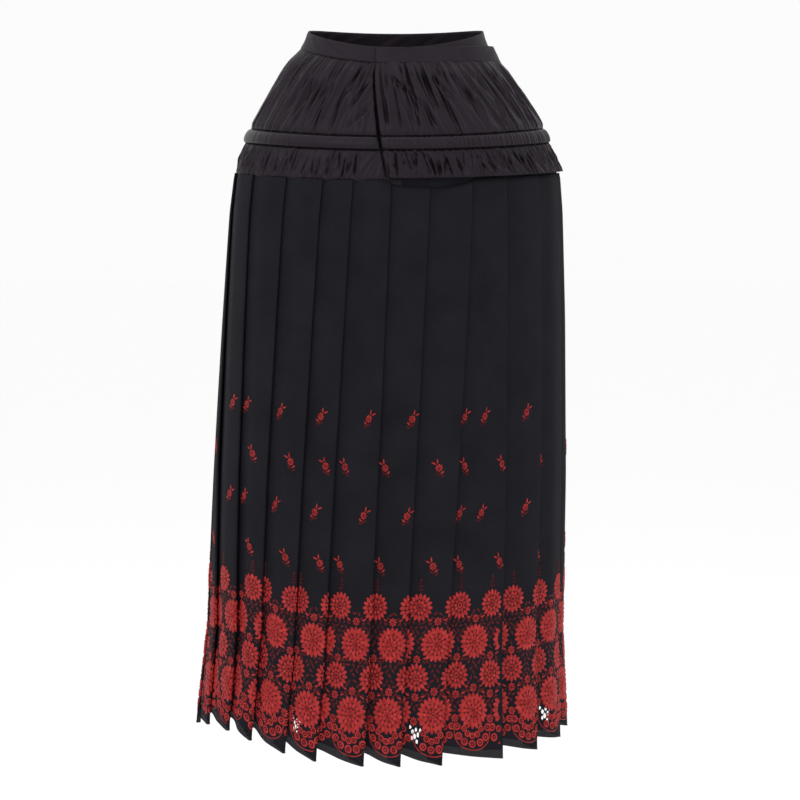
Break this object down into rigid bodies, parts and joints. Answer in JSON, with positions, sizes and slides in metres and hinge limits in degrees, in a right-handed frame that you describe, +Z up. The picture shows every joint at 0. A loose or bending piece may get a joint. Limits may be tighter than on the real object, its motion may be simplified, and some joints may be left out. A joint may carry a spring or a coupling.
{
  "type": "wrap-over pleated midi skirt with gathered hip yoke",
  "caption": "Wrap-over midi skirt in its worn form: gathered two-tier hip yoke, corded casing and embroidered knife pleats.",
  "frame": {"origin": "centre of the waist, at the height of the waistband at the sides", "axes": "+Z up, -Y the front of the skirt, +X to the viewer's right when looking at the front"},
  "size_m": [0.4533, 0.348, 0.8419],
  "materials": {
    "band_cloth": "satin",
    "yoke_cloth": "satin",
    "skirt_cloth": "matte",
    "embroidery": "satin",
    "thread": "satin"
  },
  "bodies": {
    "root": {"waistband": "band_cloth", "waistband_over": "band_cloth", "yoke_upper": "yoke_cloth", "yoke_upper_over": "yoke_cloth", "casing": "yoke_cloth", "casing_over": "yoke_cloth", "yoke_lower": "yoke_cloth", "yoke_lower_over": "yoke_cloth", "skirt_front": "skirt_cloth", "skirt_back": "skirt_cloth"}
  },
  "joints": []
}
